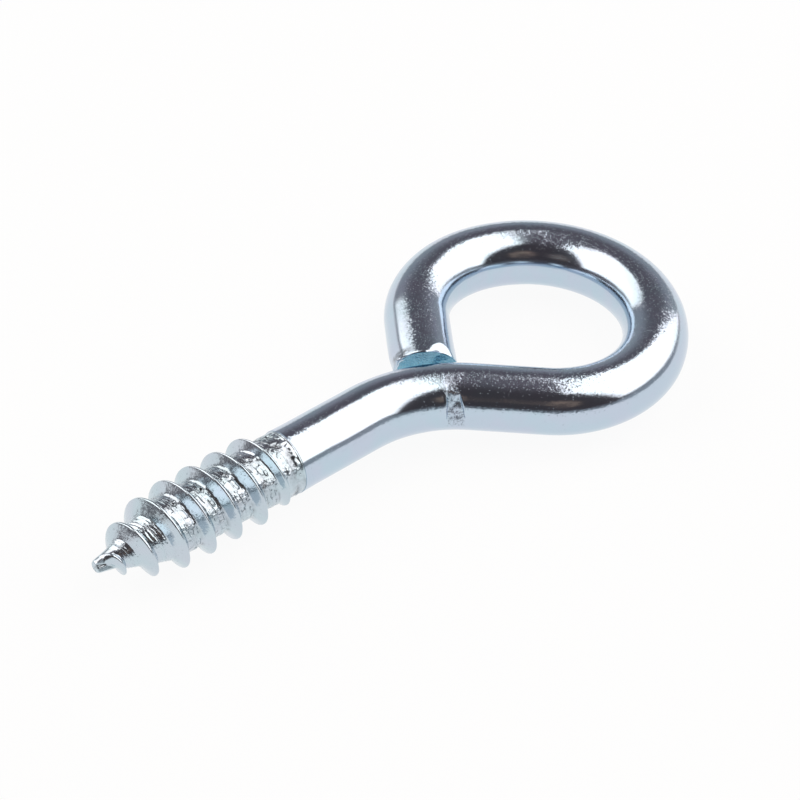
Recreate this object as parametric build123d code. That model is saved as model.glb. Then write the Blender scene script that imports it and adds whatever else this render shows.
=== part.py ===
from build123d import *
import os
from math import ceil, cos, pi, radians, sin, sqrt, tan

# Screw eye: one length of steel wire with a rolled wood thread and gimlet point at one end,
# the other end bent into an offset eye. Millimetres. The shank runs along +X and the eye
# lies flat, as the screw eye comes to rest on a table.

# Wire and shank
wire_d = 5.0              # plain wire
shank_length = 24.25      # point to the start of the neck bend
thread_length = 16.9      # point to the edge where the plain wire starts

# Thread, rolled, right-handed, single start
pitch = 2.3
crest_d = 6.3             # stands proud of the wire, as a rolled thread does
root_d = 4.56
crest_land = 0.35         # flat along the top of the ridge
flank_angle = 30.0        # each side of the ridge, from square to the axis
start_angle = -11.0       # where the ridge would meet the point, from +Y towards +Z
ridge_runout = 2.9        # the ridge sinks away over this
root_runout = 3.9         # the root rises over this
collar = 0.5              # even band between the risen root and the plain wire
shoulder = 0.04           # small edge where the plain wire starts
ridge_sink = 0.3          # how far the ridge's foot reaches into the core

# Gimlet point
point_d = 0.8             # blunt end
point_round = 0.12
root_taper = 5.8          # length over which the core swells to root_d
root_bulge = 0.06         # fullness half way, over a straight cone
crest_taper = 7.0         # length over which the ridge swells to crest_d
ridge_lead = 0.6          # bare length ahead of the ridge

# Neck: bends away from the shank's line, so that the eye sits central on it
neck_radius = 10.6        # all bend radii are to the wire's middle
neck_turn = 46.0
neck_straight = 5.6

# Eye, seen from above
lower_radius = 7.6
lower_turn = 77.0
crown_radius = 9.55
crown_turn = 130.5
upper_radius = 7.75
tail_turn = 235.0         # direction of the tail, from the shank's line
mouth_gap = 0.78          # between the neck and the middle of the tail's cut face
cut_lean = 20.0           # the sheared face overhangs: its top rim reaches further

# Worked out from the sizes above
wire_r = wire_d / 2
crest_r = crest_d / 2
root_r = root_d / 2
point_r = point_d / 2
ridge_end = thread_length - crest_land / 2
sections_per_turn = 12
ridge_lift = pitch / 4    # the ridge rises out of the core over this length


def ease(t):
    t = min(1.0, max(0.0, t))
    return t * t * (3 - 2 * t)


def steps(start, end, count):
    return [start + (end - start) * k / count for k in range(count + 1)]


def core_profile():
    """Corners of the core's outline as (distance from the point, radius)."""
    run_end = thread_length - collar
    collar_r = wire_r - shoulder
    return [(0, point_r), (root_taper / 2, (point_r + root_r) / 2 + root_bulge), (root_taper, root_r),
            (run_end - root_runout, root_r), (run_end, collar_r), (thread_length, collar_r)]


def root_radius(s):
    """Radius of the core at a distance s from the point."""
    for (s0, r0), (s1, r1) in zip(core_profile(), core_profile()[1:]):
        if s <= s1:
            break
    return r0 + (r1 - r0) * (s - s0) / (s1 - s0)


def crest_radius(s):
    """Radius of the ridge's top at a distance s from the point, fading in and out of the core."""
    top = crest_r - (crest_r - point_r) * max(0.0, 1 - s / crest_taper) ** 2
    rise = ease((s - ridge_lead) / ridge_lift)
    fall = ease((ridge_end - s) / ridge_runout)
    bottom = root_radius(s) - ridge_sink / 6
    return bottom + (top - bottom) * rise * fall


def make_core():
    """Gimlet point, threaded stretch and run-out, turned about the shank's axis."""
    nose = [(0, 0), (0, point_r - point_round), (point_round, root_radius(point_round))]
    outline = nose + core_profile()[1:] + [(thread_length, 0), (0, 0)]
    return revolve(make_face(Polyline(outline)), Axis.X)


def ridge_section(s):
    """Trapezoid across the ridge, in the half plane through the axis where the helix is at s."""
    angle = radians(start_angle) + 2 * pi * s / pitch
    top = crest_radius(s)
    foot = root_radius(s) - ridge_sink
    half_top = crest_land / 2
    half_foot = half_top + (top - foot) * tan(radians(flank_angle))
    corners = [(s - half_foot, foot), (s - half_top, top), (s + half_top, top), (s + half_foot, foot)]
    return Wire.make_polygon([Vector(x, r * cos(angle), r * sin(angle)) for x, r in corners])


def make_ridge():
    """The thread's ridge, one loft for each turn, through sections set along its helix."""
    joins = steps(ridge_lead, ridge_end, ceil((ridge_end - ridge_lead) / pitch))
    return [Solid.make_loft([ridge_section(s) for s in steps(start, end, sections_per_turn)])
            for start, end in zip(joins, joins[1:])]


def make_wire():
    """Plain shank, neck and eye, swept along the wire's middle line, and the sheared tail."""
    shank = Line((thread_length, 0), (shank_length, 0))
    neck = JernArc(shank @ 1, shank % 1, neck_radius, -neck_turn)
    straight = Line(neck @ 1, (neck @ 1) + (neck % 1) * neck_straight)
    lower = JernArc(straight @ 1, straight % 1, lower_radius, lower_turn)
    crown = JernArc(lower @ 1, lower % 1, crown_radius, crown_turn)
    upper_turn = tail_turn + neck_turn - lower_turn - crown_turn
    upper = JernArc(crown @ 1, crown % 1, upper_radius, upper_turn)
    path = Wire([shank, neck, straight, lower, crown, upper])
    start = Plane(origin=path @ 0, z_dir=path % 0)
    body = sweep(start * Circle(wire_r), path)

    # The tail runs on until its middle is mouth_gap short of the neck's outside.
    along = upper % 1
    centre = Vector(shank_length, -neck_radius)
    back = (upper @ 1) - centre
    reach = neck_radius + wire_r + mouth_gap
    half = back.dot(along)
    tail_length = -half - sqrt(half ** 2 - back.dot(back) + reach ** 2)
    overhang = wire_r * tan(radians(cut_lean))
    tail = Solid.make_cylinder(wire_r, tail_length + overhang + 1,
                               Plane(origin=upper @ 1, z_dir=along))
    lean = along * cos(radians(cut_lean)) - Vector(0, 0, 1) * sin(radians(cut_lean))
    cut = Plane(origin=(upper @ 1) + along * tail_length, z_dir=lean)
    return body + split(tail, bisect_by=cut, keep=Keep.BOTTOM)


def make_screw_eye():
    eye = make_core()
    for turn in make_ridge():
        eye += turn
    eye += make_wire()
    box = eye.bounding_box()
    middle = box.center()
    return Pos(-middle.X, -middle.Y, -box.min.Z) * eye


screw_eye = make_screw_eye()
screw_eye.label = "screw_eye"
os.makedirs("parts", exist_ok=True)
export_step(screw_eye, "parts/screw_eye.step")
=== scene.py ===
from math import cos, pi, radians, sin, sqrt, tan

import bmesh
import bpy
import numpy as np
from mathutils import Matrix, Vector


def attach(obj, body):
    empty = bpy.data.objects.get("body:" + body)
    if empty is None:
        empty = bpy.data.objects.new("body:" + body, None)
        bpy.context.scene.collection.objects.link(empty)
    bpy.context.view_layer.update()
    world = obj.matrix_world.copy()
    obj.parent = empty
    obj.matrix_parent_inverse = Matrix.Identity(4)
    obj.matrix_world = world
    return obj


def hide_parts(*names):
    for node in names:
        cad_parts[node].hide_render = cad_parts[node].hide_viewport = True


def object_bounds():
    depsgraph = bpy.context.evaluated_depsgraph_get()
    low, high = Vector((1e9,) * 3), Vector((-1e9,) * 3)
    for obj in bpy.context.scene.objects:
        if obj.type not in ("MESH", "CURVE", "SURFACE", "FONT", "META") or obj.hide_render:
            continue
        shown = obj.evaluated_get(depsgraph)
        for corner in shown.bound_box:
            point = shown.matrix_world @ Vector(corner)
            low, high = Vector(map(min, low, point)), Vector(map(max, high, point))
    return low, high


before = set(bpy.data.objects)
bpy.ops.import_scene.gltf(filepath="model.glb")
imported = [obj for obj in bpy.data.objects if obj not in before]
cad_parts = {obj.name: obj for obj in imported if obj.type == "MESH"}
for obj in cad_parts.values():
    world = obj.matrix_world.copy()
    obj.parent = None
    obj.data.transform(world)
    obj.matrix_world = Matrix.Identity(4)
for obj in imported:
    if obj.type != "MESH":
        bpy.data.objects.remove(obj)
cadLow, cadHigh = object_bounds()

scene = bpy.context.scene
mm = 0.001


# Screw eye, in millimetres and degrees. The wire runs from the point along +X.
# Round the wire, 0 is its left side seen along the wire and 90 its top.
eye = {
    "wireRadius": 2.5,
    "shankEnd": 24.25,        # where the neck bend starts
    "neckRadius": 10.6, "neckTurn": 46.0, "neckStraight": 5.6,
    "lowerRadius": 7.6, "lowerTurn": 77.0,
    "crownRadius": 9.55, "crownTurn": 130.5,
    "upperRadius": 7.75, "tailTurn": 235.0,
    "mouthGap": 0.78, "cutLean": 20.0,
    "tailBow": 0.05,          # the tail isn't quite straight
    "columns": 112,           # faces round the wire
    # rows lie closer together on these stretches: at the thread, over the pinch and at the shear
    "rowStep": 0.28, "fineStep": 0.065, "fineStart": 0.3, "finePinch": (30.4, 32.7), "fineEnd": 1.6,
    "endSteps": (0.09, 0.045, 0.0),
    "leanLength": 4.0, "rollLength": 1.6,     # how far back the shear tilts and drags the wire
    "unevenness": 0.012, "ripple": 0.005,
}

thread = {
    "length": 16.9, "pitch": 2.3, "crestRadius": 3.15, "rootRadius": 2.28,
    "land": 0.17, "flank": 30.0, "startAngle": -11.0,
    "crestNear": -0.02,       # the crest's point side is worn back this far from the ridge's middle
    "crestWander": 0.015, "dents": 0.03, "tipRound": 0.035, "farRound": 0.025,
    "footRound": 0.035, "footGrain": 0.012, "grooveGrain": 0.009,
    "ridgeEnd": 16.725, "ridgeRunout": 2.9, "rootRunout": 3.9, "collar": 0.5, "shoulder": 0.04,
    "pointRadius": 0.4, "pointRound": 0.12, "rootTaper": 5.8, "rootBulge": 0.06,
    "crestTaper": 7.0, "ridgeLead": 0.35, "foot": 0.05,
    "columns": 200,
    # rows in each band across one pitch, groove to groove over the ridge, and how they crowd to its end
    "rows": (8, 5, 5, 7, 4, 9), "crowding": (1.45, 0.75, 1, 1, 1, 1),
    # stretches along the axis, as start, rise, end and fall
    "earlyTurns": (0.9, 0.4, 6.4, 1.6), "markedTurns": (5.4, 1.0, 16.2, 0.8),
    "closingUp": (15.0, 0.8, 16.72, 0.12),
    "earlyLand": 0.05,        # the first turns' crest is this much broader
    "waveSpacing": 0.26, "waveHeight": 0.026,
    "closingLumps": 0.045, "closingSunk": 0.02,
    # thin groove round the wire behind the thread, and the lip behind it
    "ringPlace": 16.72, "ringDepth": 0.022, "lipPlace": 16.84, "lipHeight": 0.010, "ringWidth": 0.05,
    # ahead of noseFrom the point is made of rings: along it, round its blunt edge, and across its end
    "noseFrom": 0.5, "noseRows": 14, "edgeRows": 6, "endRows": 5, "endStep": 0.045,
    "noseBack": 0.4, "noseBackAt": 1.2, "noseBackLength": 0.6,      # the ridge starts this much further back
    "blunt": 0.05, "bluntLength": 0.45,                             # the point is this much fatter
    "noseFlat": 0.70, "noseFlatAngle": 155,
    # folds pressed into the blunt point, from one (distance, angle) to another, with painted shade along them
    "noseFolds": [((0.03, 122), (0.45, 150)), ((0.45, 153), (0.03, 152))],
    "noseFoldDepth": 0.035, "noseFoldWidth": 0.065, "noseFoldShade": 26,
    # holes torn where the last groove closes up: place, angle, half length, half angle, depth; the depth also
    # sets the painted shade in them
    "torn": [(16.35, 124, 0.24, 13, 0.05), (16.15, 139, 0.32, 9, 0.05), (15.80, 99, 0.16, 7, 0.07),
             (16.1, 70, 0.2, 9, 0.06), (16.2, 205, 0.2, 16, 0.08), (15.9, 262, 0.25, 12, 0.09),
             (16.3, 318, 0.2, 15, 0.08), (16.0, 20, 0.24, 11, 0.09)],
}


# Smooth noise from -1 to 1 at points of shape (..., 3), the same on every run
def latticeValue(cell, seed):
    x, y, z = (cell[..., k].astype(np.int64) for k in range(3))
    mixed = (x * 73856093) ^ (y * 19349663) ^ (z * 83492791) ^ (seed * 668265263)
    for step, factor in ((13, 1274126177), (15, 1911520717)):
        mixed = (((mixed ^ (mixed >> step)) & 0x7FFFFFFF) * factor) & 0x7FFFFFFF
    return ((mixed ^ (mixed >> 16)) & 0xFFFF) / 32767.5 - 1


def noise(points, size, seed):
    scaled = points / np.asarray(size, float)
    cell = np.floor(scaled)
    part = scaled - cell
    part = part * part * (3 - 2 * part)
    total = 0
    for corner in np.ndindex(2, 2, 2):
        weight = np.prod(np.where(corner, part, 1 - part), axis=-1)
        total = total + weight * latticeValue(cell + corner, seed)
    return total


def ease(t):
    t = np.clip(t, 0, 1)
    return t * t * (3 - 2 * t)


def between(value, start, rise, end, fall):
    # 1 inside the range, eased to 0 over rise at its start and over fall at its end
    return ease((end - value) / fall) * ease((value - start) / rise)


def wrapped(angle):
    return (angle + 180) % 360 - 180


def softMax(gap, blend):
    return 0.5 * (gap + np.sqrt(gap * gap + blend * blend))


# Wire's middle line as runs of length and curve after the straight shank
def alongRun(run, distance):
    heading = run["heading"] + run["curve"] * distance
    if run["curve"] == 0:
        step = distance * np.array([cos(run["heading"]), sin(run["heading"])])
    else:
        step = np.array([sin(heading) - sin(run["heading"]), cos(run["heading"]) - cos(heading)])
        step = step / run["curve"]
    return run["place"] + step, heading


def wireRuns():
    upperTurn = eye["tailTurn"] + eye["neckTurn"] - eye["lowerTurn"] - eye["crownTurn"]
    bends = [(eye["neckRadius"], -eye["neckTurn"]), (None, eye["neckStraight"]),
             (eye["lowerRadius"], eye["lowerTurn"]), (eye["crownRadius"], eye["crownTurn"]),
             (eye["upperRadius"], upperTurn)]
    runs = [{"start": 0.0, "length": eye["shankEnd"], "place": np.zeros(2), "heading": 0.0, "curve": 0.0}]
    place, heading = alongRun(runs[0], eye["shankEnd"])
    for radius, amount in bends:
        length = amount if radius is None else radius * radians(abs(amount))
        curve = 0.0 if radius is None else np.sign(amount) / radius
        start = runs[-1]["start"] + runs[-1]["length"]
        runs.append({"start": start, "length": length, "place": place, "heading": heading, "curve": curve})
        place, heading = alongRun(runs[-1], length)
    # The tail stops mouthGap short of the neck's outside
    centre = np.array([eye["shankEnd"], -eye["neckRadius"]])
    toPlace = place - centre
    ahead = np.array([cos(heading), sin(heading)])
    reach = eye["neckRadius"] + eye["wireRadius"] + eye["mouthGap"]
    half = toPlace @ ahead
    length = -half - sqrt(half ** 2 - toPlace @ toPlace + reach ** 2)
    start = runs[-1]["start"] + runs[-1]["length"]
    runs.append({"start": start, "length": length, "place": place, "heading": heading, "curve": 0.0})
    return runs


runs = wireRuns()
tailStart = runs[-1]["start"]
wireEnd = tailStart + runs[-1]["length"]


def middleLine(distance):
    run = next(r for r in reversed(runs) if r["start"] <= max(distance, 0))
    place, heading = alongRun(run, distance - run["start"])
    bow = eye["tailBow"] * sin(pi * min(1, max(0, (distance - tailStart + 2.2) / 10))) ** 2
    return place + bow * np.array([sin(heading), -cos(heading)]), heading


# Marks that the bending and handling left on the wire
marks = {
    # flat pressed into the inside of the neck bend; its ends at the top and at the bottom
    "pinchAngle": 161, "pinchDepth": 0.30, "pinchTop": 130, "pinchBottom": 178,
    "pinchNear": (30.82, 30.70), "pinchFar": (31.75, 32.42), "pinchRough": 0.034,
    "pinchRound": (118, 10, 205, 12),      # where it starts and ends round the wire, and over how far
    # nicks just above the flat
    "nickPlace": 31.1, "nickAngle": 122, "nickDepth": 0.012,
    # shear's rolled rim at the tail: angle, half width, drop, length
    "rolled": [(60, 30, 0.29, 0.90), (132, 30, 0.05, 0.28), (104, 16, 0.03, 0.15)],
    # skin folded over the cut face: angle, half width, share of the radius, height of the lip
    "foldAngle": 160, "foldHalf": 34, "foldShare": 0.88, "foldLip": 0.09,
    # sunk, torn face of the shear, ring by ring: share of the radius, depth
    "faceRings": [(0.985, -0.012), (0.965, -0.01), (0.94, 0.01), (0.9, 0.03), (0.84, 0.04), (0.76, 0.05),
                  (0.66, 0.055), (0.54, 0.06), (0.4, 0.06), (0.25, 0.06), (0.12, 0.06)],
    "burrAngle": 150, "burrHalf": 12, "burrHeight": 0.10,
    # grime in front of the burr: distance from the end, half length, angle, half angle
    "grime": (0.45, 0.36, 139, 24),
    "squeeze": 0.15, "squeezeLength": 2.0, "squeezeAngle": 185, "squeezeHalf": 70,
    "endRound": 0.05, "endRoundLength": 0.12,
}

# Rough skin on the wire: place, angle, half length, half angle, amount
roughPatches = [
    (36.0, 104, 6.5, 34, 0.45), (29.5, 98, 2.5, 24, 0.4), (41.8, 100, 3.0, 42, 0.5),
    (49.5, 102, 3.0, 46, 0.6), (64.0, 76, 3.5, 34, 0.6), (77.0, 70, 6.0, 34, 0.5),
    (83.5, 90, 3.0, 30, 0.6), (18.5, 95, 1.5, 40, 0.5), (56.0, 96, 4.0, 26, 0.5),
]
# Smears of scuffed skin over the crown, as (place, angle) pairs
scuffs = [((65.7, 99), (65.1, 52)), ((64.4, 95), (65.0, 55))]
# Where the rough skin lies round the wire, the smoother stretch near the tail, and the frayed line that
# runs along the near side as far as frayEnd
wireSkin = {
    "rough": 0.32, "roughChange": 0.30, "topAngle": 88, "topHalf": 47, "underside": 0.12,
    "smooth": 0.75, "smoothPlace": 81, "smoothLength": 4.5, "smoothAngle": 133, "smoothHalf": 17,
    "fray": 0.45, "frayAngle": 159, "frayHalf": 6, "frayEnd": 47, "frayFade": 4,
    "lines": 0.5, "lineChange": 0.4, "scuffWidth": 0.24,
}


def segmentDistance(x, y, start, end):
    ax, ay = start
    dx, dy = end[0] - ax, end[1] - ay
    t = np.clip(((x - ax) * dx + (y - ay) * dy) / (dx * dx + dy * dy), 0, 1)
    return np.hypot(x - ax - t * dx, y - ay - t * dy)


def rimRoll(angle, back):
    drop = 0
    for place, halfWidth, depth, length in marks["rolled"]:
        share = ease(1 - np.abs(wrapped(angle - place)) / halfWidth)
        rolled = np.clip(1 - back / (length * np.sqrt(share) + 0.01), 0, 1)
        drop = drop + depth * share * (0.25 * rolled + 0.75 * rolled ** 1.5)
    return drop


def pinchShare(s, angle, space):
    down = np.clip((angle - marks["pinchTop"]) / (marks["pinchBottom"] - marks["pinchTop"]), 0, 1) ** 0.7
    sides = (marks["pinchNear"], marks["pinchFar"])
    near, far = (top + (bottom - top) * down for top, bottom in sides)
    wander = 0.05 * noise(space, 0.3, 11)
    return ease((np.minimum(s - near, far - s) + wander) / 0.15 + 0.4) * between(angle, *marks["pinchRound"])


def wireSurface(s, angle):
    # Radius of the wire at arrays of distance and angle
    radius = eye["wireRadius"]
    turn = np.radians(angle)
    space = np.stack([radius * np.cos(turn), radius * np.sin(turn), s], axis=-1)
    settle = ease((s - thread["length"]) / 1.5)
    r = radius + settle * (eye["unevenness"] * (noise(space, (2.6, 2.6, 6.5), 3) - 1)
                           + eye["ripple"] * (noise(space, (0.9, 0.9, 1.3), 5) - 1))
    # neck pinch and the nicks over it
    inside = pinchShare(s, angle, space)
    flat = (radius - marks["pinchDepth"]) / np.clip(np.cos(np.radians(angle - marks["pinchAngle"])), 0.5, 1)
    rough = noise(space, 0.24, 12) + 0.7 * noise(space, 0.42, 13)
    r = r - inside * (np.clip(r - flat, 0, None) + marks["pinchRough"] * (0.6 + rough))
    nicks = np.exp(-((s - marks["nickPlace"]) / 0.4) ** 4 - ((angle - marks["nickAngle"]) / 14) ** 4)
    r = r - marks["nickDepth"] * nicks * (0.5 + noise(space, 0.26, 14))
    # shear at the tail
    back = wireEnd - s
    r = r - rimRoll(angle, back)
    side = ease(1 - np.abs(wrapped(angle - marks["squeezeAngle"])) / marks["squeezeHalf"])
    r = r - marks["squeeze"] * side * ease(1 - back / marks["squeezeLength"])
    burr = np.exp(-((angle - marks["burrAngle"]) / marks["burrHalf"]) ** 2 - ((back - 0.1) / 0.15) ** 2)
    r = r + marks["burrHeight"] * burr * (0.6 + 1.2 * noise(space, 0.24, 15))
    return r - marks["endRound"] * np.clip(1 - back / marks["endRoundLength"], 0, 1) ** 2


def wireDirt(s, angle, space):
    ahead, halfLength, middle, halfAngle = marks["grime"]
    band = np.exp(-((wireEnd - s - ahead) / halfLength) ** 4 - ((angle - middle) / halfAngle) ** 4)
    return np.clip(band * (0.75 + 0.7 * noise(space, 0.14, 48)), 0, 1)


def skinAmounts(s, angle, space):
    # How strong the drawn lines, the rough grain and the scuffing are
    patches = noise(space, (1.1, 1.1, 2.4), 41) + 0.6 * noise(space, (0.5, 0.5, 0.8), 44)
    rough = wireSkin["rough"] + wireSkin["roughChange"] * patches
    for place, middle, halfLength, halfAngle, amount in roughPatches:
        rough = rough + amount * np.exp(-((s - place) / halfLength) ** 2
                                        - (wrapped(angle - middle) / halfAngle) ** 2)
    top = np.exp(-(wrapped(angle - wireSkin["topAngle"]) / wireSkin["topHalf"]) ** 4)
    rough = rough * (wireSkin["underside"] + (1 - wireSkin["underside"]) * top)
    rough = rough * (1 - wireSkin["smooth"] * np.exp(
        -((s - wireSkin["smoothPlace"]) / wireSkin["smoothLength"]) ** 4
        - (wrapped(angle - wireSkin["smoothAngle"]) / wireSkin["smoothHalf"]) ** 4))
    fray = np.exp(-(wrapped(angle - wireSkin["frayAngle"]) / wireSkin["frayHalf"]) ** 2)
    rough = rough + wireSkin["fray"] * fray * ease((wireSkin["frayEnd"] - s) / wireSkin["frayFade"])
    lines = wireSkin["lines"] + wireSkin["lineChange"] * noise(space, (1.5, 1.5, 6.0), 42)
    scuff = 0
    for start, end in scuffs:
        arc = radians(eye["wireRadius"])
        gap = segmentDistance(s, angle * arc, (start[0], start[1] * arc), (end[0], end[1] * arc))
        scuff = scuff + np.exp(-(gap / wireSkin["scuffWidth"]) ** 2) * (0.7 + 0.5 * noise(space, 0.5, 43))
    nicks = np.exp(-((s - marks["nickPlace"]) / 0.5) ** 4 - ((angle - marks["nickAngle"]) / 16) ** 4)
    scarred = pinchShare(s, angle, space) + 0.7 * nicks + 0.03 * scuff
    return np.stack([lines, np.clip(rough + 0.7 * scuff, 0, 1.6), np.clip(scarred, 0, 1)], axis=-1)


# Thread's form: s is the distance from the point
def rootRadius(s):
    taper, collarStart = thread["rootTaper"], thread["length"] - thread["collar"]
    middle = (thread["pointRadius"] + thread["rootRadius"]) / 2 + thread["rootBulge"]
    places = [0, taper / 2, taper, collarStart - thread["rootRunout"], collarStart]
    radii = [thread["pointRadius"], middle, thread["rootRadius"], thread["rootRadius"],
             eye["wireRadius"] - thread["shoulder"]]
    return np.interp(s, places, radii) + thread["blunt"] * np.exp(-(s / thread["bluntLength"]) ** 2)


def crestRadius(s):
    full, point = thread["crestRadius"], thread["pointRadius"]
    top = full - (full - point) * np.clip(1 - s / thread["crestTaper"], 0, 1) ** 2
    rise = ease((s - thread["ridgeLead"]) / (thread["pitch"] / 4))
    fall = ease((thread["ridgeEnd"] - s) / thread["ridgeRunout"])
    bottom = rootRadius(s) - thread["foot"]
    return bottom + (top - bottom) * rise * fall


# Marks of the rolling dies, which come round once a turn:
# kind, angle, place across the groove from its middle, half length along it, half width, depth
dieMarks = [
    ("pit", 100, 0.20, 0.22, 0.13, 0.075), ("pad", 124, 0.16, 0.50, 0.22, 0.045),
    ("nick", 152, 0.30, 0.08, 0.17, 0.045), ("pit", 163, 0.10, 0.17, 0.09, 0.045),
    ("pit", 176, -0.08, 0.18, 0.10, 0.040), ("nick", 187, 0.18, 0.09, 0.16, 0.045),
    ("pad", 216, 0.15, 0.42, 0.22, 0.032), ("pit", 239, -0.10, 0.20, 0.13, 0.060),
    ("nick", 262, 0.22, 0.12, 0.09, 0.040), ("pad", 290, 0.20, 0.55, 0.23, 0.034),
    ("pit", 318, 0.18, 0.22, 0.14, 0.070), ("nick", 336, -0.08, 0.08, 0.17, 0.040),
    ("pad", 6, 0.22, 0.50, 0.22, 0.034), ("pit", 34, 0.16, 0.20, 0.14, 0.065),
    ("nick", 52, 0.02, 0.14, 0.09, 0.040), ("pit", 76, 0.18, 0.30, 0.10, 0.030),
]


def dieMarkHeight(s, groove, angle, radius):
    # groove is the distance from the groove's middle
    turnNumber = np.round((s - groove) / thread["pitch"] - (angle - thread["startAngle"]) / 360 - 0.5)
    total = 0
    for number, (kind, place, across, halfLength, halfWidth, depth) in enumerate(dieMarks):
        key = np.stack([turnNumber, 0 * turnNumber + number, 0 * turnNumber], axis=-1)
        jitter = [latticeValue(key, seed) for seed in (21, 22, 23, 24)]
        u = np.radians(wrapped(angle - place - 4 * jitter[0])) * radius
        u = u / (halfLength * (1 + 0.25 * jitter[1]))
        v = (groove - across - 0.05 * jitter[2]) / halfWidth
        strength = depth * (1 + 0.35 * jitter[3])
        if kind == "pad":
            # a raised pad with a groove round three of its sides
            box = (np.abs(u) ** 4 + np.abs(v) ** 4) ** 0.25
            rim = np.exp(-((box - 1.05) / 0.30) ** 2)
            openSide = ease((v + 1.1) / 0.7)
            total = total + strength * (0.5 * ease((1.05 - box) / 0.35) - rim * openSide)
        else:
            # a hollow with a low rim round it
            away = np.sqrt(u * u + v * v)
            rim = 0.4 * np.exp(-((away - 1.3) / 0.35) ** 2)
            total = total + strength * (rim - np.exp(-(away / 0.85) ** 4))
    return total


def noseFlat(s, angle, radius):
    # the point's side is pressed flat
    facing = np.clip(np.cos(np.radians(angle - thread["noseFlatAngle"])), 0.5, 1)
    return radius - ease((1.25 - s) / 0.5) * np.clip(radius * (1 - thread["noseFlat"] / facing), 0, None)


def tornShare(s, angle, space):
    total = 0
    for place, middle, halfLength, halfAngle, depth in thread["torn"]:
        across = ((s - place) / halfLength) ** 2 + (wrapped(angle - middle) / halfAngle) ** 2
        total = total + depth * np.exp(-across ** 1.5)
    return total * (1 + 0.6 * noise(space, 0.22, 47))


def noseFoldHeight(s, angle):
    total = 0
    for start, end in thread["noseFolds"]:
        arc = radians(1) * 0.5
        centre = (start[1] + end[1]) / 2
        gap = segmentDistance(s, wrapped(angle - centre) * arc, (start[0], (start[1] - centre) * arc),
                              (end[0], (end[1] - centre) * arc))
        total = total + thread["noseFoldDepth"] * np.exp(-(gap / thread["noseFoldWidth"]) ** 2)
    return -total


def threadSurface(s, offset, angle):
    # offset is the distance along the axis from the ridge's middle
    turn = np.radians(angle)
    slope = tan(radians(thread["flank"]))
    crest = crestRadius(s - offset)
    root = rootRadius(s)
    space = np.stack([root * np.cos(turn), root * np.sin(turn), s], axis=-1)
    wander = thread["crestWander"] * noise(space, 0.7, 31)
    dents = noise(space, 0.6, 45) + 0.6 * noise(space, 0.3, 46)
    early = between(s, *thread["earlyTurns"])
    nearEdge = thread["crestNear"] - thread["earlyLand"] * early
    ridge = crest - softMax((nearEdge - offset) / slope, thread["tipRound"]) \
        - softMax((offset - thread["land"] / 2 + wander) / slope, thread["farRound"])
    ridge = ridge + thread["dents"] * dents * ease((np.abs(offset) - 0.12) / 0.2)
    # the groove's floor, with the marks of the dies
    groove = (offset + thread["pitch"]) % thread["pitch"] - thread["pitch"] / 2
    full = between(s, *thread["markedTurns"])
    floor = root + full * dieMarkHeight(s, groove, angle, root)
    # lines rolled in along the first turns
    waves = np.sin(2 * pi * groove / thread["waveSpacing"] + 2.6 * noise(space, (0.6, 0.6, 0.9), 33))
    floor = floor + early * thread["waveHeight"] * waves * (0.6 + 0.5 * noise(space, (0.8, 0.8, 0.4), 34))
    grain = noise(space, 0.16, 35) + 0.6 * noise(space, 0.3, 36)
    floor = floor + thread["grooveGrain"] * grain * (full + early)
    # rough band where the last groove closes up, and the thin ring behind it
    closing = between(s, *thread["closingUp"])
    lumps = noise(space, (0.5, 0.5, 0.36), 37) + noise(space, 0.2, 38)
    floor = floor + closing * (thread["closingLumps"] * lumps - thread["closingSunk"])
    floor = floor - tornShare(s, angle, space)
    edge = 0.03 * noise(space, 0.8, 39)
    for place, height in (("ringPlace", -thread["ringDepth"]), ("lipPlace", thread["lipHeight"])):
        floor = floor + height * np.exp(-((s - thread[place] - edge) / thread["ringWidth"]) ** 2)
    floor = noseFlat(s, angle, floor)
    gap = ridge - floor
    rise = softMax(gap, thread["footRound"])
    foot = np.exp(-((rise - thread["footRound"]) / 0.10) ** 2) * full
    folds = noseFoldHeight(s, angle) * ease((0.9 - s) / 0.15)
    return floor + rise + thread["footGrain"] * foot * grain + folds


# How far back along the axis the first half turn is moved
def noseShift(s):
    return thread["noseBack"] * np.exp(-((s - thread["noseBackAt"]) / thread["noseBackLength"]) ** 2)


# Values kept on each vertex: where the finish is looked up, how strong it is, where the die marks are,
# and how much dirt and painted shade there is
layerNames = ("grainSpace", "finish", "dieSpace", "dirtAndShade")


# How the thread's skin changes: lines, rough grain and die marks, then the grime, and the painted shade in
# the corners, a pit and the torn holes
threadSkin = {
    "earlyTurns": (0.8, 0.5, 6.6, 1.6), "lines": 0.2, "rough": 0.45, "grooveRough": 0.4,
    "closingFrom": 15.0, "closingRough": 0.3, "bareNose": 1.3,
    "grime": 0.22, "grimeCoarse": 0.16, "grimeFine": 0.30, "grimeAngle": 118, "grimeHalf": 58,
    # painted shade: a dark line at the groove's corner, in one pit, and in the torn holes
    "cornerShadePlace": 0.60, "cornerShadeWidth": 0.06, "pitShadeAngle": 100, "pitShadePlace": 0.2, "tornShade": 7,
    "radius": 2.3, "lineRun": 2.6,         # where the finish is looked up
}


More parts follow.
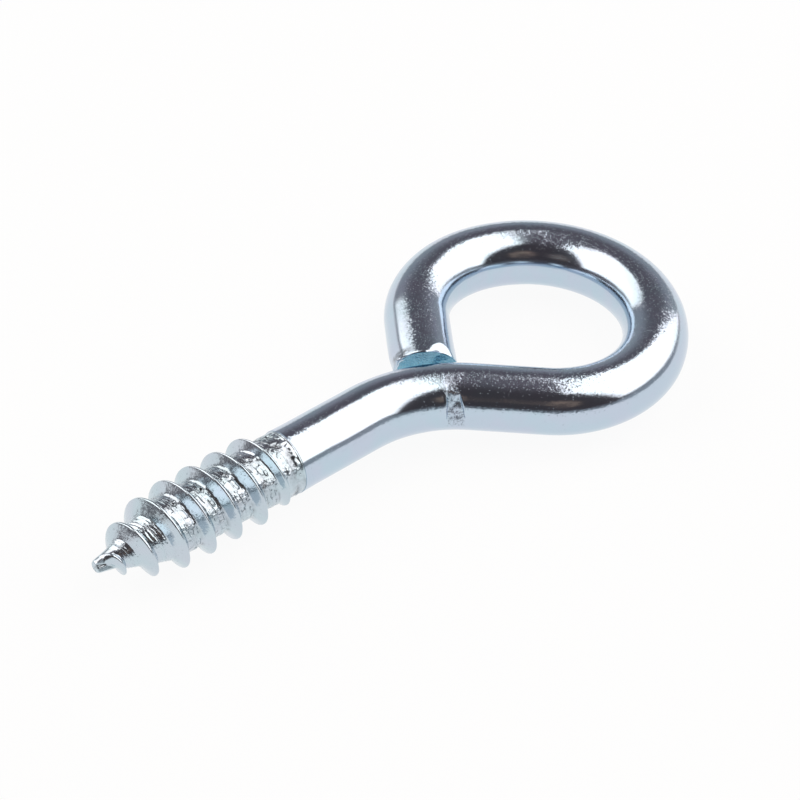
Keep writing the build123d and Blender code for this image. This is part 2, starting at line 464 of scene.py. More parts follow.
def threadStrip(bm):
    columns, pitch, halfLand = thread["columns"], thread["pitch"], thread["land"] / 2
    slope = tan(radians(thread["flank"]))
    angles = 360 * np.arange(columns) / columns
    turns = np.arange(-2, 9)
    middle = pitch * (turns[None, :] + (angles[:, None] - thread["startAngle"]) / 360)
    height = np.clip(crestRadius(middle) - rootRadius(middle), 0, None)
    foot = np.clip(halfLand + height * slope + 0.05, 0.32, pitch / 2 - 0.3)[..., None]

    def spread(start, end, count, closer):
        # closer over 1 crowds the rows towards the end, under 1 towards the start
        share = np.arange(count) / count
        share = 1 - (1 - share) ** closer if closer > 1 else share ** (1 / closer)
        return start + (end - start) * share

    # bands across one pitch, each from the end of the one before
    ends = [edge + 0 * foot for edge in (-pitch / 2, -foot, -0.15, 0, 0.21, foot, pitch / 2)]
    bands = zip(ends, ends[1:], thread["rows"], thread["crowding"])
    offsets = np.concatenate([spread(*band) for band in bands], axis=2)
    rows = offsets.shape[2]
    s = (middle[..., None] + offsets).reshape(columns, -1)
    offsets = offsets.reshape(columns, -1)
    total = s.shape[1]
    angle = angles[:, None] + 0 * s
    radius = threadSurface(s, offsets, angle)
    turn = np.radians(angle)
    points = np.stack([s + noseShift(s), radius * np.cos(turn), radius * np.sin(turn)], axis=-1)
    # where the finish is looked up: round the ridge's profile, and along the helix
    lead = 2 * pi * offsets / pitch
    along = (np.arange(total)[None, :] // rows + angle / 360) * 2 * pi * threadSkin["lineRun"]
    profile = pitch / (2 * pi)
    grain = np.stack([profile * np.cos(lead), profile * np.sin(lead), along], axis=-1)
    early = between(s, *threadSkin["earlyTurns"])
    groove = np.abs((offsets + pitch) % pitch - pitch / 2)
    inGroove = ease((0.62 - groove) / 0.2)
    closing = ease((s - threadSkin["closingFrom"]) / 0.8)
    bare = ease((threadSkin["bareNose"] - s) / 0.4)
    rough = threadSkin["rough"] + threadSkin["grooveRough"] * inGroove + threadSkin["closingRough"] * closing
    finish = np.stack([(threadSkin["lines"] + early) * (1 - bare), rough * (1 - 0.8 * bare),
                       inGroove * (1 - early) * (1 - 0.6 * closing)], axis=-1)
    # the same marks come round once a turn, a little changed
    across = (offsets + pitch) % pitch - pitch / 2
    turnNumber = np.floor((s - across) / pitch - (angle - thread["startAngle"]) / 360)
    plain = threadSkin["radius"]
    die = np.stack([plain * turn + 0.23 * turnNumber, across + 0.06 * turnNumber, turnNumber], axis=-1)
    space = np.stack([plain * np.cos(turn), plain * np.sin(turn), s], axis=-1)
    pit = np.exp(-(wrapped(angle - threadSkin["pitShadeAngle"]) / 6) ** 2
                 - ((across - threadSkin["pitShadePlace"]) / 0.16) ** 2) * inGroove * (1 - early)
    upper = 0.3 + 0.7 * np.exp(-(wrapped(angle - threadSkin["grimeAngle"]) / threadSkin["grimeHalf"]) ** 4)
    specks = threadSkin["grime"] + threadSkin["grimeFine"] * noise(space, 0.17, 61) \
        + threadSkin["grimeCoarse"] * noise(space, 0.4, 62)
    grime = inGroove * (1 - early) * specks
    # painted shade: a dark line along the groove's corner at the foot of the flank
    corner = np.exp(-((across - threadSkin["cornerShadePlace"]) / threadSkin["cornerShadeWidth"]) ** 2)
    corner = corner * (1 - early) * (0.25 + 0.5 * noise(space, (0.3, 0.3, 2), 63))
    # painted shade in the pit and along the nose folds
    pitAndFoldShade = 0.5 * pit - thread["noseFoldShade"] * noseFoldHeight(s, angle) * ease((0.9 - s) / 0.15)
    # painted shade in the torn holes, added to the grime and to the corner's painted shade
    dirtAndShade = threadSkin["tornShade"] * tornShare(s, angle, space) + pitAndFoldShade \
        + upper * np.clip(grime, 0, 1) + np.clip(corner, 0, 1)
    dirtAndShade = np.clip(dirtAndShade, 0, 1)[..., None] * np.ones(3)
    grainLayer, finishLayer, dieLayer, dirtAndShadeLayer = (bm.verts.layers.float_vector[k] for k in layerNames)
    verts = []
    for i in range(columns):
        column = []
        for p, g, f, d, dark in zip(points[i], grain[i], finish[i], die[i], dirtAndShade[i]):
            v = bm.verts.new(p)
            v[grainLayer], v[finishLayer], v[dieLayer], v[dirtAndShadeLayer] = g, f, d, dark
            column.append(v)
        verts.append(column)
    for i in range(columns):
        near, far = verts[i], verts[(i + 1) % columns]
        shift = rows if i == columns - 1 else 0
        for k in range(total - 1 - shift):
            bm.faces.new((near[k], near[k + 1], far[k + 1 + shift], far[k + shift]))


def cutAt(bm, place, side):
    bmesh.ops.bisect_plane(bm, geom=bm.verts[:] + bm.edges[:] + bm.faces[:], dist=1e-6,
                           plane_co=(place, 0, 0), plane_no=(side, 0, 0), clear_outer=True)
    return [e for e in bm.edges if e.is_boundary and all(abs(v.co.x - place) < 1e-4 for v in e.verts)]


def noseRings(bm, edges):
    # Rings from the cut forward to the blunt end, then round its edge and close it
    start, bluntEdge = thread["noseFrom"], thread["pointRound"]
    dirtAndShadeLayer = bm.verts.layers.float_vector[layerNames[3]]
    count = thread["noseRows"]
    # a ring whose radius isn't given follows the thread
    places = [(start + (bluntEdge - start) * k / count, None) for k in range(1, count + 1)]
    tip = thread["pointRadius"] + thread["blunt"] + 0.01
    corners = [(bluntEdge * (1 - sin(a)), tip - bluntEdge * (1 - cos(a)))
               for a in np.linspace(0, pi / 2, thread["edgeRows"] + 1)[1:]]
    inner = [(0.0, tip - bluntEdge - thread["endStep"] * k) for k in range(1, thread["endRows"] + 1)]
    for x, radius in places + corners + inner:
        made = bmesh.ops.extrude_edge_only(bm, edges=edges)["geom"]
        edges = [g for g in made if isinstance(g, bmesh.types.BMEdge)]
        for v in {v for e in edges for v in e.verts}:
            angle = np.degrees(np.arctan2(v.co.z, v.co.y))
            fold = float(noseFoldHeight(np.array(x), np.array(angle)))
            if radius is None:
                turns = x / thread["pitch"] - (angle - thread["startAngle"]) / 360
                offset = np.array((turns - round(turns)) * thread["pitch"])
                r = float(threadSurface(np.array(x), offset, np.array(angle)))
            else:
                r = float(noseFlat(np.array(x), np.array(angle), radius)) + fold * min(1, radius / 0.3)
            # painted shade along the folds, as deep as they are
            v[dirtAndShadeLayer] = [min(1, thread["noseFoldShade"] * abs(fold))] * 3
            flat = Vector((0, v.co.y, v.co.z)).normalized() * max(0.02, r)
            back = float(noseShift(x)) if radius is None else 0.5 * abs(fold)
            v.co = (x + back, flat.y, flat.z)
    bmesh.ops.pointmerge(bm, verts=list({v for e in edges for v in e.verts}), merge_co=(0, 0, 0))


def wirePlaces():
    # Row places along the wire, closer together where it is marked
    places = [thread["length"]]
    pinchStart, pinchEnd = eye["finePinch"]
    while places[-1] < wireEnd - eye["fineStep"]:
        s = places[-1]
        atEnds = s < thread["length"] + eye["fineStart"] or s > wireEnd - eye["fineEnd"]
        fine = atEnds or pinchStart < s < pinchEnd
        places.append(s + (eye["fineStep"] if fine else eye["rowStep"]))
    return np.array(places[:-1] + [wireEnd - step for step in eye["endSteps"]])


def wireRings():
    columns, lean = eye["columns"], tan(radians(eye["cutLean"]))
    angles = 360 * np.arange(columns) / columns
    places = wirePlaces()
    s, angle = np.meshgrid(places, angles, indexing="ij")
    radius = wireSurface(s, angle)
    turn = np.radians(angle)
    side, z = radius * np.cos(turn), radius * np.sin(turn)
    tilt = ease(1 - (wireEnd - s) / eye["leanLength"])
    here = s + tilt * lean * eye["wireRadius"] * np.sin(turn) \
        - 1.1 * rimRoll(angle, 0) * ease(1 - (wireEnd - s) / eye["rollLength"])
    points = np.empty(s.shape + (3,))
    for i, j in np.ndindex(s.shape):
        place, heading = middleLine(here[i, j])
        points[i, j] = (place[0] - sin(heading) * side[i, j], place[1] + cos(heading) * side[i, j], z[i, j])
    plain = eye["wireRadius"]
    grain = np.stack([plain * np.cos(turn), plain * np.sin(turn), s], axis=-1)
    return points, grain, skinAmounts(s, angle, grain), wireDirt(s, angle, grain)


def skin(bm, near, far, material=0):
    for j in range(len(near)):
        k = (j + 1) % len(near)
        bm.faces.new((near[j], far[j], far[k], near[k])).material_index = material


def cutFace(bm, rim, heading):
    # The sheared end: a sunk, torn face inside a turned edge, with skin folded over one side of it
    grainLayer, finishLayer = (bm.verts.layers.float_vector[k] for k in layerNames[:2])
    centre = sum((v.co for v in rim), Vector()) / len(rim)
    angles = 360 * np.arange(len(rim)) / len(rim)
    fold = ease(1 - np.abs(wrapped(angles - marks["foldAngle"])) / marks["foldHalf"])
    near = rim
    for share, sunk in marks["faceRings"]:
        far = []
        up = sin(pi * max(0, share - marks["foldShare"]) / (1 - marks["foldShare"]))
        for j, v in enumerate(rim):
            spot = centre + (v.co - centre) * share
            rough = float(noise(np.array(spot) + 7.0, 0.32, 51) + 0.6 * noise(np.array(spot), 0.16, 52))
            lip = fold[j] * marks["foldLip"] * up
            sink = sunk - lip * (1 + 0.5 * rough) + 0.012 * rough * ease((1 - share) / 0.08)
            w = bm.verts.new(spot - heading * sink)
            w[grainLayer], w[finishLayer] = spot, (0.2, 1, 0)
            far.append(w)
        skin(bm, near, far, 2)
        for j, v in enumerate(far):
            if share >= marks["foldShare"] and fold[j] > 0.35:
                for f in v.link_faces:
                    f.material_index = 0
        near = far
    middle = bm.verts.new(centre - heading * marks["faceRings"][-1][1])
    middle[grainLayer], middle[finishLayer] = centre, (0.2, 1, 0)
    for j in range(len(near)):
        bm.faces.new((near[j], middle, near[(j + 1) % len(near)])).material_index = 2


def makeEye():
    bm = bmesh.new()
    for layerName in layerNames:
        bm.verts.layers.float_vector.new(layerName)
    grainLayer, finishLayer, dieLayer, dirtAndShadeLayer = (bm.verts.layers.float_vector[k] for k in layerNames)
    threadStrip(bm)
    cutAt(bm, thread["length"], 1)
    noseRings(bm, cutAt(bm, thread["noseFrom"] + float(noseShift(thread["noseFrom"])), -1))
    for f in bm.faces:
        f.material_index = 1
    joinEdges = [e for e in bm.edges if e.is_boundary]
    points, grain, finish, dirtAndShade = wireRings()
    rings = []
    for i in range(len(points)):
        ring = []
        for j in range(eye["columns"]):
            v = bm.verts.new(points[i, j])
            v[grainLayer], v[finishLayer], v[dirtAndShadeLayer] = grain[i, j], finish[i, j], [dirtAndShade[i, j]] * 3
            ring.append(v)
        rings.append(ring)
    for near, far in zip(rings, rings[1:]):
        skin(bm, near, far)
    first = rings[0]
    ringEdges = [bm.edges.get((first[j], first[(j + 1) % len(first)])) for j in range(len(first))]
    for f in bmesh.ops.bridge_loops(bm, edges=joinEdges + ringEdges)["faces"]:
        f.material_index = 0
    heading = middleLine(wireEnd)[1]
    cutFace(bm, rings[-1], Vector((cos(heading), sin(heading), 0)))
    bmesh.ops.recalc_face_normals(bm, faces=bm.faces[:])
    print("open edges left", sum(not e.is_manifold for e in bm.edges))
    # Into the frame: the point at the low end of X, centred across Y, the axis half way up
    ys = [v.co.y for v in bm.verts]
    shift = Vector((cadLow.x / mm, (cadLow.y + cadHigh.y) / 2 / mm - (min(ys) + max(ys)) / 2,
                    (cadLow.z + cadHigh.z) / 2 / mm))
    for v in bm.verts:
        v.co = (v.co + shift) * mm
    mesh = bpy.data.meshes.new("screwEye")
    bm.to_mesh(mesh)
    bm.free()
    mesh.shade_smooth()
    mesh.set_sharp_from_angle(angle=radians(50))
    piece = bpy.data.objects.new("screwEye", mesh)
    scene.collection.objects.link(piece)
    return piece


piece = makeEye()
print("screw eye made, triangles", sum(len(p.vertices) - 2 for p in piece.data.polygons))


# Shader node groups for the finish; positions and depths are in millimetres
def newGroup(name, outputs, **inputs):
    # each has a Space where its pattern is looked up; an input whose value is None is a colour
    tree = bpy.data.node_groups.new(name, "ShaderNodeTree")
    tree.interface.new_socket(name="Space", in_out="INPUT", socket_type="NodeSocketVector")
    for socket, value in inputs.items():
        kind = "NodeSocketColor" if value is None else "NodeSocketFloat"
        made = tree.interface.new_socket(name=socket, in_out="INPUT", socket_type=kind)
        if value is not None:
            made.default_value = value
    for socket, kind in outputs.items():
        tree.interface.new_socket(name=socket, in_out="OUTPUT", socket_type="NodeSocket" + kind)
    return tree, tree.nodes.new("NodeGroupInput").outputs, tree.nodes.new("NodeGroupOutput").inputs


def addNode(tree, kind, settings=None, **values):
    node = tree.nodes.new(kind)
    for key, value in (settings or {}).items():
        setattr(node, key, value)
    for key, value in values.items():
        socket = node.inputs[int(key[1:])] if key[0] == "i" and key[1:].isdigit() else node.inputs[key]
        if isinstance(value, bpy.types.NodeSocket):
            tree.links.new(value, socket)
        else:
            socket.default_value = value
    return node


def maths(tree, operation, a, b=0.0):
    return addNode(tree, "ShaderNodeMath", {"operation": operation}, i0=a, i1=b).outputs[0]


def ramp(tree, value, low, high, toLow=0.0, toHigh=1.0):
    return addNode(tree, "ShaderNodeMapRange", {"interpolation_type": "SMOOTHSTEP"}, Value=value,
                   **{"From Min": low, "From Max": high, "To Min": toLow, "To Max": toHigh}).outputs[0]


def clouds(tree, space, scale, detail, output="Fac", **more):
    node = addNode(tree, "ShaderNodeTexNoise", Vector=space, Scale=scale, Detail=detail, **more)
    return node.outputs[output]


def vectors(tree, operation, a, b):
    return addNode(tree, "ShaderNodeVectorMath", {"operation": operation}, i0=a, i1=b).outputs[0]


def mixColors(tree, share, first, second):
    return addNode(tree, "ShaderNodeMix", {"data_type": "RGBA"}, i0=share, i6=first, i7=second).outputs[2]


def centred(tree, value, depth):
    # a height either side of 0, from a value round 0.5
    return maths(tree, "MULTIPLY", maths(tree, "SUBTRACT", value, 0.5), depth)


def sunk(tree, mask, depth):
    return maths(tree, "MULTIPLY", mask, maths(tree, "MULTIPLY", depth, -1.0))


def drawnLinesGroup():
    # Fine lines along the wire or the thread
    tree, given, made = newGroup("drawnLines", {"Height": "Float"}, Spacing=0.1, Length=4.0, Depth=0.001)
    part = addNode(tree, "ShaderNodeSeparateXYZ", Vector=given["Space"]).outputs
    x = maths(tree, "DIVIDE", part[0], given["Spacing"])
    y = maths(tree, "DIVIDE", part[1], given["Spacing"])
    z = maths(tree, "DIVIDE", part[2], given["Length"])
    stretched = addNode(tree, "ShaderNodeCombineXYZ", X=x, Y=y, Z=z).outputs[0]
    lines = clouds(tree, stretched, 1.0, 2.0, Roughness=0.6)
    tree.links.new(centred(tree, lines, given["Depth"]), made["Height"])
    return tree


def platedSkinGroup():
    # The plating's fine orange peel
    tree, given, made = newGroup("platedSkin", {"Height": "Float"}, Size=0.2, Depth=0.002)
    scale = maths(tree, "DIVIDE", 1.0, given["Size"])
    peel = clouds(tree, given["Space"], scale, 1.5, Roughness=0.65)
    tree.links.new(centred(tree, peel, given["Depth"]), made["Height"])
    return tree


def facetsGroup():
    # The plating's tiny crystals, each tilted its own way: most of them a little, a few a lot
    tree, given, made = newGroup("facets", {"Normal": "Vector"}, Size=0.08, Tilt=0.2)
    scale = maths(tree, "DIVIDE", 1.0, given["Size"])
    cells = addNode(tree, "ShaderNodeTexVoronoi", Vector=given["Space"], Scale=scale).outputs["Color"]
    lean = vectors(tree, "SUBTRACT", cells, (0.5, 0.5, 0.5))
    steep = vectors(tree, "MULTIPLY", vectors(tree, "MULTIPLY", lean, lean), lean)
    lean = vectors(tree, "ADD", vectors(tree, "MULTIPLY", steep, (7, 7, 7)),
                   vectors(tree, "MULTIPLY", lean, (0.25, 0.25, 0.25)))
    lean = addNode(tree, "ShaderNodeVectorMath", {"operation": "SCALE"}, i0=lean,
                   Scale=given["Tilt"]).outputs[0]
    upright = tree.nodes.new("ShaderNodeNewGeometry").outputs["Normal"]
    leaning = addNode(tree, "ShaderNodeVectorMath", {"operation": "NORMALIZE"},
                      i0=vectors(tree, "ADD", upright, lean)).outputs[0]
    tree.links.new(leaning, made["Normal"])
    return tree


def pitsGroup():
    # Scattered small pits, and where they are
    tree, given, made = newGroup("pits", {"Height": "Float", "Mask": "Float"}, Spacing=0.3, Share=0.3,
                                 Depth=0.01)
    scale = maths(tree, "DIVIDE", 1.0, given["Spacing"])
    cells = addNode(tree, "ShaderNodeTexVoronoi", Vector=given["Space"], Scale=scale).outputs
    chance = addNode(tree, "ShaderNodeSeparateColor", Color=cells["Color"]).outputs[0]
    chosen = maths(tree, "LESS_THAN", chance, given["Share"])
    mask = maths(tree, "MULTIPLY", chosen, ramp(tree, cells["Distance"], 0.38, 0.05))
    tree.links.new(mask, made["Mask"])
    tree.links.new(sunk(tree, mask, given["Depth"]), made["Height"])
    return tree


def scarsGroup():
    # Short crooked scratches
    tree, given, made = newGroup("scars", {"Height": "Float", "Mask": "Float"}, Size=0.4, Depth=0.03)
    scale = maths(tree, "DIVIDE", 1.0, given["Size"])
    wander = clouds(tree, given["Space"], scale, 1.0, Distortion=0.6)
    line = ramp(tree, maths(tree, "ABSOLUTE", maths(tree, "SUBTRACT", wander, 0.5)), 0.035, 0.0)
    coarse = clouds(tree, given["Space"], maths(tree, "MULTIPLY", scale, 0.8), 1.0)
    mask = maths(tree, "MULTIPLY", line, ramp(tree, coarse, 0.42, 0.55))
    tree.links.new(mask, made["Mask"])
    tree.links.new(sunk(tree, mask, given["Depth"]), made["Height"])
    return tree


def dieOutlinesGroup():
    # Thin crooked outlines of the oblong pads that the dies pressed
    tree, given, made = newGroup("dieOutlines", {"Height": "Float", "Mask": "Float"}, Length=0.8, Width=0.05,
                                 Depth=0.02)
    wander = clouds(tree, given["Space"], 3.0, 1.0, "Color")
    offset = addNode(tree, "ShaderNodeVectorMath", {"operation": "MULTIPLY_ADD"}, i0=wander,
                     i1=(0.22, 0.22, 0.0), i2=given["Space"]).outputs[0]
    bricks = addNode(tree, "ShaderNodeTexBrick", Vector=offset, Scale=1.0,
                     **{"Brick Width": given["Length"], "Row Height": 0.36, "Mortar Size": given["Width"],
                        "Mortar Smooth": 1.0}).outputs["Fac"]
    coarse = clouds(tree, given["Space"], 1.7, 1.0)
    mask = maths(tree, "MULTIPLY", bricks, ramp(tree, coarse, 0.49, 0.58))
    tree.links.new(mask, made["Mask"])
    tree.links.new(sunk(tree, mask, given["Depth"]), made["Height"])
    return tree


def passivateGroup():
    # The clear blue passivate's slight change of tint over the zinc
    tree, given, made = newGroup("passivate", {"Color": "Color"}, Base=None, Tinted=None, Size=3.0,
                                 Amount=0.5)
    scale = maths(tree, "DIVIDE", 1.0, given["Size"])
    cloud = clouds(tree, given["Space"], scale, 2.0)
    share = maths(tree, "MULTIPLY", ramp(tree, cloud, 0.3, 0.7), given["Amount"])
    tree.links.new(mixColors(tree, share, given["Base"], given["Tinted"]), made["Color"])
    return tree


groups = {"lines": drawnLinesGroup(), "skin": platedSkinGroup(), "facets": facetsGroup(), "pits": pitsGroup(),
          "scars": scarsGroup(), "dieOutlines": dieOutlinesGroup(), "passivate": passivateGroup()}

# Colours are linear; sizes in millimetres
finishes = {
    "zincWire": {"base": (0.535, 0.603, 0.712), "tinted": (0.50, 0.622, 0.712), "roughness": 0.13,
                 "lineSpacing": 0.10, "lineLength": 3.0, "lineDepth": 0.003,
                 "skinSize": 0.09, "skinDepth": 0.002,
                 "pitSpacing": 0.10, "pitShare": 0.38, "pitDepth": 0.0075,
                 "facetSize": 0.10, "facetTilt": 0.085,
                 "scarSize": 0.22, "scarDepth": 0.035},
    "zincThread": {"base": (0.56, 0.62, 0.69), "tinted": (0.52, 0.635, 0.685), "roughness": 0.17,
                   "lineSpacing": 0.06, "lineLength": 1.6, "lineDepth": 0.005,
                   "skinSize": 0.14, "skinDepth": 0.007,
                   "pitSpacing": 0.13, "pitShare": 0.3, "pitDepth": 0.006,
                   "facetSize": 0.08, "facetTilt": 0.11,
                   "outlineLength": 0.85, "outlineWidth": 0.05, "outlineDepth": 0.03},
    "zincCut": {"base": (0.18, 0.43, 0.56), "tinted": (0.13, 0.33, 0.46), "roughness": 0.24,
                "lineSpacing": 0.2, "lineLength": 0.2, "lineDepth": 0.004,
                "skinSize": 0.12, "skinDepth": 0.02,
                "pitSpacing": 0.16, "pitShare": 0.5, "pitDepth": 0.015,
                "facetSize": 0.08, "facetTilt": 0.2},
}
# How far each kind of mark darkens the zinc, the most they do together, and the colour of the dirt and the
# painted shade
grimeAndShade = {"pits": 0.4, "scars": 0.55, "outlines": 0.35, "dirtAndShade": 0.9, "most": 0.92,
         "color": (0.08, 0.085, 0.095), "rougher": 0.12}
tintSize, tintAmount = 2.6, 0.9


def zincMaterial(name):
    finish = finishes[name]
    material = bpy.data.materials.new(name)
    material.use_nodes = True
    tree = material.node_tree
    shader = tree.nodes["Principled BSDF"]

    def layer(name, output="Vector"):
        return addNode(tree, "ShaderNodeAttribute", {"attribute_name": name}).outputs[output]

    space = layer("grainSpace")
    # lines, rough grain, and scars or die marks
    local = addNode(tree, "ShaderNodeSeparateXYZ", Vector=layer("finish")).outputs

    def placed(group, **values):
        values.setdefault("Space", space)
        return addNode(tree, "ShaderNodeGroup", {"node_tree": groups[group]}, **values).outputs

    def scaled(value, share):
        return maths(tree, "MULTIPLY", value, share)

    lines = placed("lines", Spacing=finish["lineSpacing"], Length=finish["lineLength"],
                   Depth=finish["lineDepth"])
    skinned = placed("skin", Size=finish["skinSize"], Depth=finish["skinDepth"])
    pits = placed("pits", Spacing=finish["pitSpacing"], Share=scaled(local[1], finish["pitShare"]),
                  Depth=finish["pitDepth"])
    height = maths(tree, "ADD", scaled(lines["Height"], local[0]), pits["Height"])
    height = maths(tree, "ADD", height, scaled(skinned["Height"], maths(tree, "ADD", local[1], 0.25)))
    rough = maths(tree, "ADD", scaled(pits["Mask"], grimeAndShade["rougher"]), finish["roughness"])
    # dirt, and the painted shade in the thread's corners, pit, torn holes and folds
    dirtyAndShaded = scaled(layer("dirtAndShade", "Fac"), grimeAndShade["dirtAndShade"])
    dark = maths(tree, "ADD", scaled(pits["Mask"], grimeAndShade["pits"]), dirtyAndShaded)
    if "scarSize" in finish:
        scars = placed("scars", Size=finish["scarSize"], Depth=finish["scarDepth"])
        height = maths(tree, "ADD", height, scaled(scars["Height"], local[2]))
        rough = maths(tree, "ADD", rough, scaled(local[2], grimeAndShade["rougher"]))
        scratched = maths(tree, "MULTIPLY", scars["Mask"], scaled(local[2], grimeAndShade["scars"]))
        dark = maths(tree, "ADD", dark, scratched)
    if "outlineLength" in finish:
        outlines = placed("dieOutlines", Space=layer("dieSpace"), Length=finish["outlineLength"],
                          Width=finish["outlineWidth"], Depth=finish["outlineDepth"])
        height = maths(tree, "ADD", height, scaled(outlines["Height"], local[2]))
        inked = maths(tree, "MULTIPLY", outlines["Mask"], scaled(local[2], grimeAndShade["outlines"]))
        dark = maths(tree, "ADD", dark, inked)
    facets = placed("facets", Size=finish["facetSize"], Tilt=scaled(local[1], finish["facetTilt"]))
    bump = addNode(tree, "ShaderNodeBump", Height=height, Distance=mm, Strength=1.0, Normal=facets["Normal"])
    tree.links.new(bump.outputs[0], shader.inputs["Normal"])
    tint = placed("passivate", Base=(*finish["base"], 1), Tinted=(*finish["tinted"], 1), Size=tintSize,
                  Amount=tintAmount)
    dark = maths(tree, "MINIMUM", dark, grimeAndShade["most"])
    zinc = mixColors(tree, dark, tint["Color"], (*grimeAndShade["color"], 1))
    tree.links.new(zinc, shader.inputs["Base Color"])
    shader.inputs["Metallic"].default_value = 1
    tree.links.new(rough, shader.inputs["Roughness"])
    return material


for name in finishes:
    piece.data.materials.append(zincMaterial(name))
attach(piece, "root")
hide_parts("screw_eye")
print("finish made")


# Studio: directions are (azimuth from +Y towards +X, elevation) in degrees, distances in metres
studio = {
    "floorHalf": 8.0, "floorColor": 0.8, "floorWhite": 0.93,
    "panelDistance": 0.4, "panelStrength": 2.1, "panelColor": (1.06, 1.0, 0.96),
    "edgeFrom": 0.84, "edgeGain": 0.55,    # where the panels' dimmer edge starts, and how much dimmer it is
    # facing direction, then corners on the panel's plane as (right, up) per unit of distance, and the glow
    "leftPanel": ((-34.6, 42.1), [(-0.80, 0.08, 0.1), (-0.52, 0.50, 0.35), (0.38, 0.66, 0.45),
                                  (0.98, -0.33, 0.45), (-0.78, -0.70, 0.3)]),
    "rightPanel": ((129.0, 51.9), [(-0.42, 0.64, 0.45), (0.84, 0.64, 0.45), (0.96, -0.20, 0.4),
                                   (1.56, -1.05, 0.2), (-0.86, -0.68, 0.45)]),
    # the room is dimmer on the near side, which lies along -Y turned a little towards -X
    "roomAbove": (0.135, 0.117, 0.132), "roomNear": (0.062, 0.052, 0.056),
    "nearTurn": 0.35, "nearRange": (0.15, -0.5),
    # bands of light, each over the one before: colour, then the ramps whose product is its share, as
    # axis, where it starts, where it is full, and the shares at both; lowered is z, less towards +X
    "bands": {
        "far": ((0.36, 0.36, 0.37), ("z", 0.32, 0.0), ("x", 0.5, -0.3, 0.45, 1.0), ("x", -0.82, -0.6)),
        "farRight": ((0.32, 0.315, 0.345), ("z", 0.66, 0.25), ("x", -0.1, 0.15), ("y", 0.0, 0.3)),
        "horizon": ((0.34, 0.36, 0.38), ("lowered", 0.2, 0.0), ("x", -0.85, -0.55, 0.25, 1.0)),
        "mist": ((0.44, 0.53, 0.58), ("z", 0.07, 0.0, 0.0, 0.4), ("x", 0.5, 0.3)),
        "sweep": ((0.79, 0.71, 0.695), ("z", 0.08, 0.0), ("y", -0.5, -0.1)),
    },
    "lowering": (0.0, 0.5, 0.0, 0.13),
    # dim brown things beyond the near side: direction, half width, colour
    "cards": [((-106, 30), 11, (0.25, 0.20, 0.18)), ((-147, 31), 12, (0.34, 0.235, 0.18))],
    "streakScale": (5, 5, 34), "streakRange": (0.40, 0.60, 0.15, 1.0),
}


def direction(azimuth, elevation):
    a, e = radians(azimuth), radians(elevation)
    return Vector((sin(a) * cos(e), cos(a) * cos(e), sin(e)))


def glowMaterial(name):
    # Light box that fades towards its edges
    material = bpy.data.materials.new(name)
    material.use_nodes = True
    tree = material.node_tree
    tree.nodes.clear()
    share = addNode(tree, "ShaderNodeAttribute", {"attribute_name": "glow"}).outputs["Fac"]
    strength = maths(tree, "MULTIPLY", share, studio["panelStrength"])
    glow = addNode(tree, "ShaderNodeEmission", Color=(*studio["panelColor"], 1), Strength=strength)
    out = tree.nodes.new("ShaderNodeOutputMaterial")
    tree.links.new(glow.outputs[0], out.inputs["Surface"])
    return material


def makePanel(name, facing, corners):
    centre = direction(*facing)
    right = Vector((0, 0, 1)).cross(centre).normalized()
    up = centre.cross(right)
    count = len(corners)
    middle = [sum(c[k] for c in corners) / count for k in (0, 1)]
    rings, glow = [], []
    for share, gain in ((1.0, 0.0), (studio["edgeFrom"], studio["edgeGain"])):
        rings += [tuple(m + (c - m) * share for m, c in zip(middle, corner)) for corner in corners]
        glow += [corner[2] + gain for corner in corners]
    points = [(centre + right * a + up * b) * studio["panelDistance"] for a, b in rings + [middle]]
    faces = [(k, (k + 1) % count, (k + 1) % count + count, k + count) for k in range(count)]
    faces += [(k + count, (k + 1) % count + count, 2 * count) for k in range(count)]
    mesh = bpy.data.meshes.new(name)
    mesh.from_pydata(points, [], faces)
    mesh.attributes.new("glow", "FLOAT", "POINT").data.foreach_set("value", glow + [1.0])
    panel = bpy.data.objects.new(name, mesh)
    scene.collection.objects.link(panel)
    mesh.materials.append(glowMaterial(name))
    panel.visible_camera = False
    panel.visible_shadow = False


makePanel("leftPanel", *studio["leftPanel"])
makePanel("rightPanel", *studio["rightPanel"])


def makeFloor():
    half = studio["floorHalf"]
    mesh = bpy.data.meshes.new("floor")
    z = cadLow.z
    corners = [(-half, -half, z), (half, -half, z), (half, half, z), (-half, half, z)]
    mesh.from_pydata(corners, [], [range(4)])
    floor = bpy.data.objects.new("floor", mesh)
    scene.collection.objects.link(floor)
    material = bpy.data.materials.new("floorWhite")
    material.use_nodes = True
    tree = material.node_tree
    tree.nodes.clear()
    paint = addNode(tree, "ShaderNodeBsdfDiffuse", Color=(*[studio["floorColor"]] * 3, 1))
    glow = addNode(tree, "ShaderNodeEmission", Strength=1.0)
    path = tree.nodes.new("ShaderNodeLightPath").outputs
    seen = maths(tree, "MAXIMUM", path["Is Camera Ray"], path["Is Glossy Ray"])
    seen = maths(tree, "MAXIMUM", seen, path["Is Transmission Ray"])
    share = maths(tree, "MULTIPLY", seen, studio["floorWhite"])
    mix = addNode(tree, "ShaderNodeMixShader", Fac=share, i1=paint.outputs[0], i2=glow.outputs[0])
    out = tree.nodes.new("ShaderNodeOutputMaterial")
    tree.links.new(mix.outputs[0], out.inputs["Surface"])
    mesh.materials.append(material)


makeFloor()


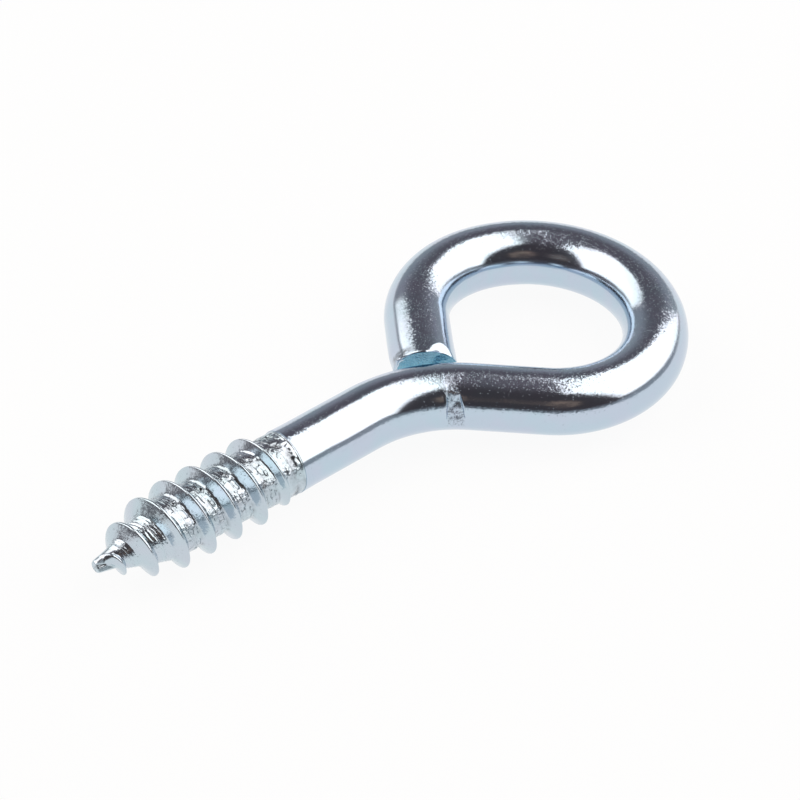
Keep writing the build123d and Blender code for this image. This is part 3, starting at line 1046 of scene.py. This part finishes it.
def makeRoom():
    # Dim room, darker on the near side, with bands of light towards the horizon
    world = bpy.data.worlds.new("room")
    scene.world = world
    world.use_nodes = True
    tree = world.node_tree
    background = tree.nodes["Background"]
    look = addNode(tree, "ShaderNodeTexCoord").outputs["Generated"]
    x, y, z = addNode(tree, "ShaderNodeSeparateXYZ", Vector=look).outputs
    side = maths(tree, "ADD", y, maths(tree, "MULTIPLY", x, studio["nearTurn"]))
    near = ramp(tree, side, *studio["nearRange"])
    sky = mixColors(tree, near, (*studio["roomAbove"], 1), (*studio["roomNear"], 1))
    streaks = clouds(tree, vectors(tree, "MULTIPLY", look, studio["streakScale"]), 1.0, 2.0)
    for facing, halfWidth, color in studio["cards"]:
        toward = addNode(tree, "ShaderNodeVectorMath", {"operation": "DOT_PRODUCT"}, i0=look,
                         i1=direction(*facing)).outputs["Value"]
        share = ramp(tree, toward, cos(radians(halfWidth * 1.3)), cos(radians(halfWidth * 0.4)))
        share = maths(tree, "MULTIPLY", share, ramp(tree, streaks, *studio["streakRange"]))
        sky = mixColors(tree, share, sky, (*color, 1))
    lowered = maths(tree, "SUBTRACT", z, ramp(tree, x, *studio["lowering"]))
    axes = {"x": x, "y": y, "z": z, "lowered": lowered}
    for name, (color, *ramps) in studio["bands"].items():
        # the far band fades out towards the near side
        share = maths(tree, "SUBTRACT", 1.0, near) if name == "far" else 1.0
        for axis, *places in ramps:
            share = maths(tree, "MULTIPLY", share, ramp(tree, axes[axis], *places))
        sky = mixColors(tree, share, sky, (*color, 1))
    tree.links.new(sky, background.inputs["Color"])


makeRoom()

# Camera: aim and distance in millimetres
shot = {"aim": (1.488, 0.068, 3.15), "azimuth": -40.40, "elevation": 40.71, "distance": 234.035,
        "lens": 143.29, "sensor": 36}


def makeCamera():
    camera = bpy.data.objects.new("camera", bpy.data.cameras.new("camera"))
    a, e = radians(shot["azimuth"]), radians(shot["elevation"])
    back = Vector((sin(a) * cos(e), -cos(a) * cos(e), sin(e)))
    camera.location = (Vector(shot["aim"]) + back * shot["distance"]) * mm
    camera.rotation_euler = (pi / 2 - e, 0, a)
    camera.data.lens = shot["lens"]
    camera.data.sensor_width = shot["sensor"]
    camera.data.clip_start = 0.01
    scene.collection.objects.link(camera)
    scene.camera = camera


makeCamera()
scene.view_settings.view_transform = "Standard"
print("studio made")
